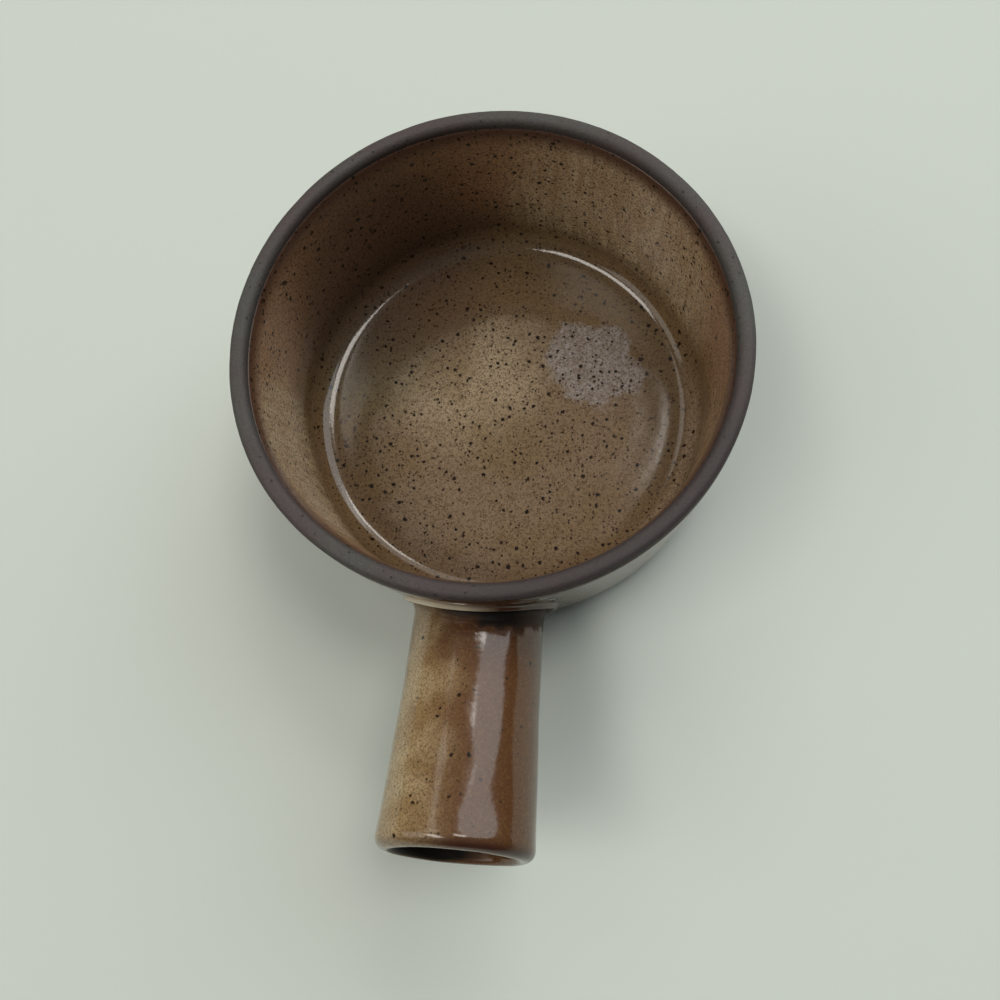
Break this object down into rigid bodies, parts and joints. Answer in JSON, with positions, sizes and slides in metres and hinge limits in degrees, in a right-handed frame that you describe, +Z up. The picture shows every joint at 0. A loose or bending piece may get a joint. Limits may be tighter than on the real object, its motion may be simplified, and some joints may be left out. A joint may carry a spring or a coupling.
{
  "type": "individual bean pot",
  "caption": "Open round stoneware crock with straight sides, a bare dark lip and a hollow flared stick handle, glazed in glossy speckled brown.",
  "frame": {"origin": "on the surface that the pot stands on, in the middle of the footprint of bowl and handle together", "axes": "+Z up along the bowl's axis, -Y along the handle towards its mouth, X across the handle"},
  "size_m": [0.127, 0.1856, 0.0619],
  "materials": {
    "bare_stoneware": "bare fired clay, matte, dark grey-brown",
    "liner_glaze": "glossy taupe-brown glaze with dark iron specks",
    "wall_glaze": "glossy brown glaze with dark iron specks",
    "handle_glaze": "glossy golden-brown mottled glaze"
  },
  "bodies": {
    "root": {"bowl_body": "bare_stoneware", "handle_tube": "bare_stoneware", "luting_coil": "bare_stoneware", "liner_glaze": "liner_glaze", "wall_glaze": "wall_glaze", "handle_glaze": "handle_glaze"}
  },
  "joints": []
}
